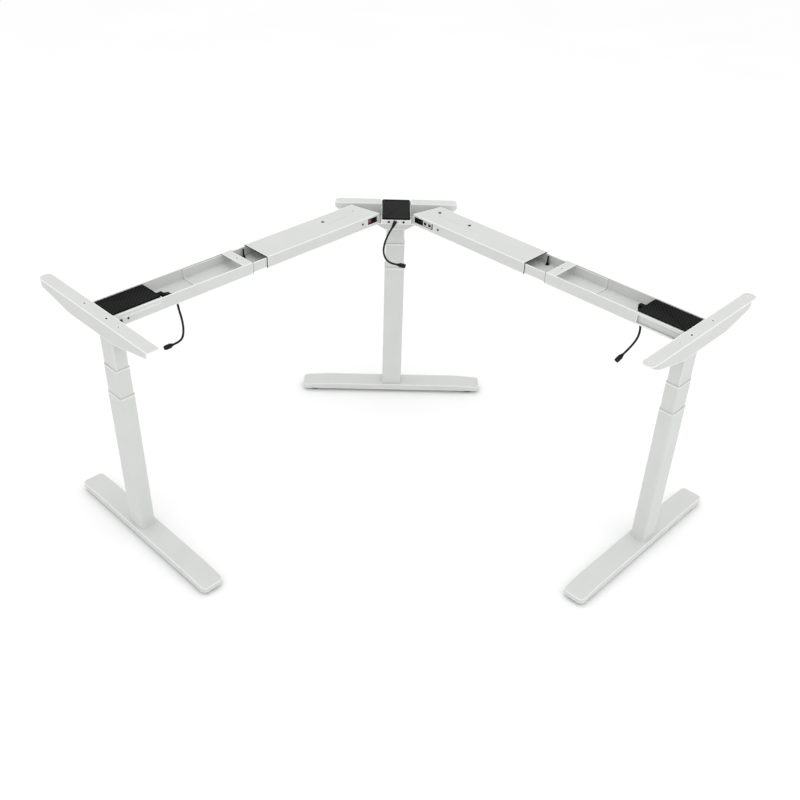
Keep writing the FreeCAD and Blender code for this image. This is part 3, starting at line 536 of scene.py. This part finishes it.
# ---------------------------------------------------------------- cords
@dataclass
class MotorCord:
    """A motor's lead: a ribbed boot, a hanging jacket and a round moulded plug.

    The route's points are in the leg's own frame, in millimetres, and so are the boot's sizes.
    """

    station: Station
    body: str
    route: list[Point]
    length: float
    boot_from: Point
    boot_length: float = 21.0
    boot_rings: int = 5
    boot_radius: float = 6.4
    boot_taper: float = 1.9
    boot_groove: float = 0.9
    contacts: int = 5
    contact_circle: float = 3.2
    diameter: float = 0.007
    points: list[Vector] = field(init=False)

    def __post_init__(self) -> None:
        """Turn the route into points of the whole frame."""
        self.points = [self.station.at(point) for point in self.route]

    def jacket(self) -> bpy.types.Object:
        """Make the cord itself as one open smooth curve."""
        line = bpy.data.curves.new(self.station.name + "_lead", "CURVE")
        line.dimensions = "3D"
        line.resolution_u = 12
        line.bevel_depth = self.diameter / 2
        line.bevel_resolution = 6
        line.use_fill_caps = True
        spline = line.splines.new("NURBS")
        spline.points.add(len(self.points) - 1)
        for knot, point in zip(spline.points, self.points):
            knot.co = (*point, 1.0)
        spline.order_u = 3
        spline.use_endpoint_u = True
        line.materials.append(JACKET.material())
        piece = bpy.data.objects.new(line.name, line)
        bpy.context.scene.collection.objects.link(piece)
        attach(piece, self.body)
        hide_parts(self.station.name + "_motor_cord")
        return piece

    def plug(self) -> bpy.types.Object:
        """Make the plug: a ribbed neck, a gripped barrel and a hollow nose with contacts."""
        neck = [(0, 0), (4.2, 0), (4.2, 1), (5.2, 1.2), (5.2, 2.4), (4.5, 2.7), (4.5, 3.7),
                (5.7, 4), (5.7, 5.2), (5, 5.5), (5, 6.5), (6.4, 7.2)]
        barrel = [(7.4, 8), (8, 9), (8, 12), (7.6, 12.4), (7.6, 13.2), (8, 13.6), (8, 16),
                  (7.6, 16.4), (7.6, 17.2), (8, 17.6), (8, 24), (7.3, 24.8)]
        nose = [(7.3, 29.4), (6.9, 30), (5.9, 30), (5.6, 29.6), (5.6, 24), (0, 24)]
        shapes = [turned(neck + barrel + nose)]
        for index in range(self.contacts):
            turn = Matrix.Rotation(math.tau * index / self.contacts, 3, "Z")
            middle = turn @ Vector((self.contact_circle, 0, 26))
            shapes.append(block((1.0, 1.0, 5.0), tuple(middle), 0.2, 1))
        way = self.points[-1] - self.points[-2]
        return make_piece(self.station.name + "_lead_plug", shapes, aimed(self.points[-1], way),
                          NYLON, self.body, (self.station.name + "_cord_plug",))

    def boot(self) -> bpy.types.Object:
        """Make the tapered strain relief, ringed so that it bends evenly."""
        start = self.station.at(self.boot_from)
        way = self.points[1] - self.points[0]
        long, rings = self.boot_length, self.boot_rings
        profile: Profile = [(0, 0), (self.boot_radius, 0)]
        for index in range(rings):
            low = long * index / rings
            high = long * (index + 1) / rings
            wide = self.boot_radius - self.boot_taper * index / rings
            narrow = wide - self.boot_groove
            profile += [(wide, low + 0.3), (wide, high - 1.5), (narrow, high - 1.1),
                        (narrow, high - 0.3)]
        profile += [(4.0, long), (0, long)]
        return make_piece(self.station.name + "_lead_boot", [turned(profile)],
                          aimed(start, way), JACKET, self.body)

    def build(self) -> None:
        jacket = self.jacket()
        plug = self.plug()
        boot = self.boot()
        LOG.info("%s: %.3f m", jacket.name, self.length)


# ---------------------------------------------------------------- lids and fittings
@dataclass
class Lid:
    """A moulded lid over a motor, with rounded corners and a softened rim, in millimetres."""

    length: float = 161.0
    width: float = 96.0
    rise: float = 4.0
    corner: float = 4.5
    rim: float = 3.0
    slope: float = 1.5
    top_rounding: float = 1.2
    dish: float = 0.4

    def shape(self, middle_x: float, middle_y: float, base: float) -> bmesh.types.BMesh:
        """Make the lid.

        Args:
            middle_x: Its middle along the arm.
            middle_y: Its middle across the arm.
            base: The height of its underside.

        Returns:
            The shape in metres.
        """
        shape = bmesh.new()
        bmesh.ops.create_grid(shape, x_segments=1, y_segments=1, size=0.5)
        bmesh.ops.scale(shape, vec=(self.length * MM, self.width * MM, 1), verts=shape.verts[:])
        bmesh.ops.bevel(shape, geom=shape.verts[:], offset=self.corner * MM, affect="VERTICES",
                        segments=6, profile=0.5, material=-1)
        raised = bmesh.ops.extrude_face_region(shape, geom=shape.faces[:])["geom"]
        tops = [item for item in raised if isinstance(item, bmesh.types.BMVert)]
        bmesh.ops.translate(shape, vec=(0, 0, self.rise * MM), verts=tops)
        rim = [edge for edge in shape.edges
               if all(vert.co.z > self.rise * MM / 2 for vert in edge.verts)]
        bmesh.ops.bevel(shape, geom=rim, offset=self.top_rounding * MM, affect="EDGES",
                        segments=3, profile=0.5, material=-1)
        top = max(shape.faces, key=lambda face: (round(face.calc_center_median().z, 6),
                                                 face.calc_area()))
        bmesh.ops.inset_region(shape, faces=[top], thickness=self.rim * MM)
        bmesh.ops.inset_region(shape, faces=[top], thickness=self.slope * MM)
        bmesh.ops.translate(shape, vec=(0, 0, -self.dish * MM), verts=top.verts[:])
        top.material_index = 1
        bmesh.ops.translate(shape, vec=Vector((middle_x, middle_y, base)) * MM,
                            verts=shape.verts[:])
        return shape


@dataclass
class EndDrive:
    """The lid and the lead of an end leg's motor, and the fittings of its arm section.

    Places are in the leg's own frame, in millimetres, and the cord's length is in metres.
    """

    station: Station
    beam_y: float
    exit_y: float
    route: list[Point]
    cord_length: float
    boot_from: Point
    plugged_wall: bool = False
    lid: Lid = field(default_factory=Lid)
    housing_middle: float = -102.5
    housing_start: float = -185.0
    base: float = 777.0
    mouth: float = -510.0
    wall: float = 57.5
    plug_x: float = -41.0
    plug_size: Point = (8.5, 3.0, 10.0)
    screw_x: float = -65.0
    seat_z: float = 757.0
    outlet_size: Point = (15.8, 15.0, 15.0)
    outlet_out: float = 8.0
    strap_size: Point = (32.0, 15.0, 2.6)
    strap_lift: float = 1.1

    def wall_fittings(self) -> None:
        """Make the square blanking plug and the screw beside it in the user-side wall."""
        face = self.beam_y + self.wall
        plug = block(self.plug_size, (self.plug_x, face + 0.6, self.seat_z), 0.7)
        head = screw_head(3.4, 1.6)
        bmesh.ops.transform(head, verts=head.verts[:], matrix=aimed(
            Vector((self.screw_x, face, self.seat_z)) * MM, Vector((0, 1, 0))))
        make_piece(self.station.name + "_wall_plug", [plug], self.station.matrix(), NYLON,
                   self.station.name + "_end")
        make_piece(self.station.name + "_wall_screw", [head], self.station.matrix(), BLACK_STEEL,
                   self.station.name + "_end")

    def build(self) -> None:
        """Make the lid with its moulded outlet, the lead and the section's fittings."""
        body = self.station.name + "_end"
        outlet = block(self.outlet_size, (self.housing_start - self.outlet_out, self.exit_y,
                                          self.base - self.outlet_size[2] / 2), 1.8)
        strap = block(self.strap_size, (self.housing_start, self.exit_y,
                                        self.base + self.strap_lift), 0.8)
        lid = self.lid.shape(self.housing_middle, self.beam_y, self.base)
        make_piece(self.station.name + "_lid", [lid, outlet, strap], self.station.matrix(), LID,
                   body, (self.station.name + "_motor_cover",), LID)
        MotorCord(self.station, body, self.route, self.cord_length, self.boot_from).build()
        # black edging, partly painted shade for the dark gap at the mouth
        shade_edge_mouth(self.station.name + "_end_shade_edging", self.station, self.mouth, self.beam_y,
                   -1.0, body)
        if self.plugged_wall:
            self.wall_fittings()


@dataclass
class CornerDrive:
    """The dished cap, the cap screws and the lead of the corner leg's motor.

    Places are in the leg's own frame, in millimetres, and the cord's length is in metres.
    """

    station: Station
    route: list[Point]
    cord_length: float
    lid: Lid = field(default_factory=lambda: Lid(corner=6.0, rim=5.0, dish=1.3))
    housing_middle: float = -55.5
    nose: float = -138.0
    base: float = 779.0
    screw_pitch: float = 50.0
    screw_z: float = 771.5
    boot_from: Point = (-138, 2, 774)
    boot_length: float = 23.5

    def build(self) -> None:
        """Make the cap, its screws and the lead."""
        cap = self.lid.shape(self.housing_middle, 0, self.base)
        make_piece("corner_cap", [cap], self.station.matrix(), RIM, "top_frame",
                   ("corner_motor_cover",), CAP)
        head = [(0, -0.6), (1.3, -0.6), (1.6, -2.0), (2.9, -1.8), (3.8, -1.1), (4.0, -0.2),
                (4.0, 0), (1.5, 0), (1.5, 8), (0, 8)]
        screws = []
        for side in (-1, 1):
            screw = turned(head, 24)
            bmesh.ops.transform(screw, verts=screw.verts[:], matrix=aimed(
                Vector((self.nose, side * self.screw_pitch / 2, self.screw_z)) * MM,
                Vector((1, 0, 0))))
            screws.append(screw)
        make_piece("corner_cap_screws", screws, self.station.matrix(), BLACK_STEEL, "top_frame",
                   ("corner_housing_screws",))
        MotorCord(self.station, "top_frame", self.route, self.cord_length, self.boot_from,
                  self.boot_length).build()


@dataclass
class ArmFittings:
    """An arm's rail bolt, and the edging, eyelets, sockets and screws of its corner section; the
    black edging and eyelets are partly painted shade.

    Places are in the arm's own frame, in millimetres. A screw seat is where a head sits and
    which way it looks.
    """

    station: Station
    user: int
    first_socket: float
    sockets: int
    screw_seats: list[tuple[Point, Point]]
    shade_eyelet_places: list[float]
    bolt_x: float = 646.0
    bolt_in: float = 43.0
    bolt_base: float = 742.4
    rod_height: float = 33.0
    thread_from: float = 6.0
    thread_pitch: float = 1.5
    nut_radius: float = 5.6
    nut_height: float = 4.6
    nut_middle: float = 5.4
    socket_pitch: float = 20.0
    socket_size: tuple[float, float] = (13.0, 11.0)
    socket_z: float = 761.0
    bezel_rims: tuple[float, float] = (1.6, 3.2)
    bezel_growths: tuple[float, float] = (3.0, 6.0)
    bezel_rise: float = 0.9
    contact_size: Point = (1.1, 6.0, 1.1)
    contact_pitch: tuple[float, float] = (3.2, 2.2)
    contact_depth: float = 5.4
    wall: float = 55.5
    mouth: float = 628.0
    shade_eyelet_in: float = 18.0
    top_head: float = 5.6
    side_head: float = 3.9
    head_rise: float = 2.0
    top: float = 779.0

    def bolt(self) -> None:
        """Make the upright bolt: a washer, a hexagon nut and a threaded rod."""
        rod: Profile = [(0, 0), (2.9, 0)]
        height = self.thread_from
        while height < self.rod_height - 1:
            rod += [(2.95, height), (2.5, height + self.thread_pitch / 2)]
            height += self.thread_pitch
        rod += [(2.5, self.rod_height - 0.4), (0, self.rod_height)]
        nut = bmesh.new()
        bmesh.ops.create_cone(nut, cap_ends=True, segments=6, radius1=self.nut_radius * MM,
                              radius2=self.nut_radius * MM, depth=self.nut_height * MM)
        bmesh.ops.bevel(nut, geom=nut.edges[:], offset=0.3 * MM, affect="EDGES", segments=2,
                        profile=0.5, material=-1)
        bmesh.ops.translate(nut, vec=(0, 0, self.nut_middle * MM), verts=nut.verts[:])
        washer = turned([(3.0, 2.05), (6.0, 2.05), (6.0, 3.0), (3.0, 3.05), (3.0, 2.05)], 32)
        seat = Vector((self.bolt_x, -self.bolt_in * self.user, self.bolt_base)) * MM
        make_piece(self.station.name + "_stud", [turned(rod, 24), nut, washer],
                   self.station.matrix() @ Matrix.Translation(seat), BLACK_STEEL,
                   self.station.name + "_rail",
                   (self.station.name + "_rail_bolt",))

    def socket_row(self) -> None:
        """Make a bezel round each socket and the contacts inside it; the last ones are pale."""
        wide, tall = self.socket_size
        contacts = []
        for index in range(self.sockets):
            x = self.first_socket + wide / 2 + self.socket_pitch * index
            pale = index >= self.sockets / 2
            rim = self.bezel_rims[pale]
            bezel = ring(wide + self.bezel_growths[pale], tall + 2 * rim - 0.2, rim,
                         self.bezel_rise)
            face = Vector((x, self.wall * self.user, self.socket_z)) * MM
            where = self.station.matrix() @ aimed(face, Vector((0, self.user, 0)))
            make_piece("%s_socket_bezel_%d" % (self.station.name, index + 1), [bezel], where,
                       NYLON_GREY if pale else BOX, "top_frame")
            deep = (self.wall - self.contact_depth) * self.user
            for row in (-1, 1):
                for column in (-1, 0, 1):
                    middle = (x + column * self.contact_pitch[0], deep,
                              self.socket_z + row * self.contact_pitch[1])
                    contacts.append(block(self.contact_size, middle, 0.2, 1))
        make_piece(self.station.name + "_contacts", contacts, self.station.matrix(), TIN,
                   "top_frame")

    def screws(self) -> None:
        """Make the black pan-head screws of the box inside the arm; those on top are wider."""
        heads = []
        for seat, way in self.screw_seats:
            head = screw_head(self.top_head if way[2] else self.side_head, self.head_rise)
            bmesh.ops.transform(head, verts=head.verts[:],
                                matrix=aimed(Vector(seat) * MM, Vector(way)))
            heads.append(head)
        make_piece(self.station.name + "_box_screws", heads, self.station.matrix(), BLACK_STEEL,
                   "top_frame")

    def shade_hole_eyelets(self) -> None:
        """Make the black eyelets that line holes in the arm's top, open through the middle. Their
        black is partly painted shade: it darkens the holes.
        """
        for index, x in enumerate(self.shade_eyelet_places):
            # black ring, partly painted shade that darkens the hole
            shade_eyelet_shape = turned([(3.3, 0), (5.6, 0), (5.6, 0.6), (5.1, 1.0), (3.6, 1.0), (3.3, 0.7),
                             (3.3, 0)], 32)
            seat = Vector((x, -self.shade_eyelet_in * self.user, self.top)) * MM
            make_piece("%s_hole_shade_eyelet_%d" % (self.station.name, index + 1), [shade_eyelet_shape],
                       self.station.matrix() @ Matrix.Translation(seat), NYLON, "top_frame")

    def build(self) -> None:
        """Make the arm's fittings."""
        self.bolt()
        # black edging, partly painted shade for the dark gap at the mouth
        shade_edge_mouth(self.station.name + "_apex_shade_edging", self.station, self.mouth, 0.0, 1.0,
                   "top_frame")
        self.shade_hole_eyelets()
        self.socket_row()
        self.screws()


# ---------------------------------------------------------------- studio
@dataclass(frozen=True)
class Lamp:
    """A square soft lamp: its place and size in metres, and its power in watts."""

    name: str
    place: Point
    size: float
    power: float


@dataclass
class Studio:
    """A pale floor, soft light and the camera, in metres and degrees."""

    eye: Point = (1.7626, -1.8307, 2.1703)
    heading: float = 43.63
    dip: float = 35.22
    roll: float = 1.97
    lens_mm: float = 43.5
    floor_size: float = 40.0
    ambient: float = 1.0
    target: Point = (0, 0, 0.5)
    lamps: tuple[Lamp, ...] = (Lamp("overhead", (0.4, -0.4, 4.2), 4.0, 22.0),
                               Lamp("side", (3.6, 0.6, 2.4), 2.0, 7.0))

    def camera(self) -> None:
        """Put the camera at its place."""
        lens = bpy.data.cameras.new("camera")
        lens.lens = self.lens_mm
        lens.sensor_width = 36.0
        view = bpy.data.objects.new("camera", lens)
        view.matrix_world = (
            Matrix.Translation(self.eye)
            @ Matrix.Rotation(math.radians(self.heading), 4, "Z")
            @ Matrix.Rotation(math.radians(90 - self.dip), 4, "X")
            @ Matrix.Rotation(math.radians(self.roll), 4, "Z"))
        bpy.context.scene.collection.objects.link(view)
        bpy.context.scene.camera = view

    def floor(self) -> None:
        """Lay a pale floor with a faint unevenness."""
        shape = bmesh.new()
        bmesh.ops.create_grid(shape, x_segments=1, y_segments=1, size=self.floor_size / 2)
        mesh = bpy.data.meshes.new("floor")
        shape.to_mesh(mesh)
        shape.free()
        paper = bpy.data.materials.new("studio_paper")
        paper.use_nodes = True
        tree = paper.node_tree
        tree.nodes.clear()
        place = add_node(tree, "ShaderNodeTexCoord").outputs["Object"]
        cloud = add_node(tree, "ShaderNodeTexNoise", {"Scale": 1.5}, {"Vector": place})
        tone = add_node(tree, "ShaderNodeMix", {"data_type": "RGBA", 6: linear("#fbfbfb"),
                                                7: linear("#fefefe")},
                        {0: cloud.outputs["Fac"]}).outputs[2]
        matt = add_node(tree, "ShaderNodeBsdfDiffuse", {}, {"Color": tone})
        add_node(tree, "ShaderNodeOutputMaterial", {}, {"Surface": matt.outputs[0]})
        mesh.materials.append(paper)
        floor = bpy.data.objects.new("floor", mesh)
        bpy.context.scene.collection.objects.link(floor)

    def light(self) -> None:
        """Fill the room with even light and add the soft lamps."""
        world = bpy.data.worlds.new("studio")
        world.use_nodes = True
        tree = world.node_tree
        tree.nodes.clear()
        sky = add_node(tree, "ShaderNodeBackground", {"Color": linear("#ffffff"),
                                                      "Strength": self.ambient})
        add_node(tree, "ShaderNodeOutputWorld", {}, {"Surface": sky.outputs[0]})
        bpy.context.scene.world = world
        for lamp in self.lamps:
            glow = bpy.data.lights.new(lamp.name, "AREA")
            glow.size = lamp.size
            glow.energy = lamp.power
            holder = bpy.data.objects.new(lamp.name, glow)
            aim = Vector(self.target) - Vector(lamp.place)
            turn = aim.to_track_quat("-Z", "Y").to_matrix().to_4x4()
            holder.matrix_world = Matrix.Translation(lamp.place) @ turn
            bpy.context.scene.collection.objects.link(holder)
        bpy.context.scene.view_settings.view_transform = "Standard"

    def build(self) -> None:
        """Set up the camera, the floor and the light."""
        self.camera()
        self.floor()
        self.light()


# ---------------------------------------------------------------- main
def main() -> None:
    """Build the studio, then the lids and cords, then the fittings, and dress the rest."""
    logging.basicConfig(level=logging.INFO, format="%(message)s")
    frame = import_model()
    Studio().build()
    across, along = CROSSING
    setback = CORNER_LEG_SETBACK * math.sqrt(0.5)
    corner_leg = Station("corner", across + setback, along - setback, 135.0)
    left_leg = Station("left", across + END_LEG_SIDE, along - LEFT_LEG_REACH, -90.0)
    right_leg = Station("right", across + RIGHT_LEG_REACH, along - END_LEG_SIDE, 0.0)
    CornerDrive(corner_leg, route=CORNER_ROUTE, cord_length=0.191).build()
    EndDrive(left_leg, beam_y=-69.0, exit_y=-40.0, route=LEFT_ROUTE, cord_length=0.230,
             boot_from=(-200.5, -40, 769.5), plugged_wall=True).build()
    EndDrive(right_leg, beam_y=69.0, exit_y=60.0, route=RIGHT_ROUTE, cord_length=0.1685,
             boot_from=(-193, 60, 762.5)).build()
    ArmFittings(Station("left", across, along, -90.0), user=1, first_socket=156.0, sockets=1,
                screw_seats=[((217.0, 57.5, 761.0), (0, 1, 0))], shade_eyelet_places=[331.0]).build()
    ArmFittings(Station("right", across, along, 0.0), user=-1, first_socket=150.0, sockets=4,
                screw_seats=[((257.0, -57.5, 761.0), (0, -1, 0)),
                             ((195.0, 18.0, 779.0), (0, 0, 1)),
                             ((331.0, 18.0, 779.0), (0, 0, 1))], shade_eyelet_places=[]).build()
    dress_cad_nodes(frame["nodes"], frame["record"])


if __name__ == "__main__":
    main()
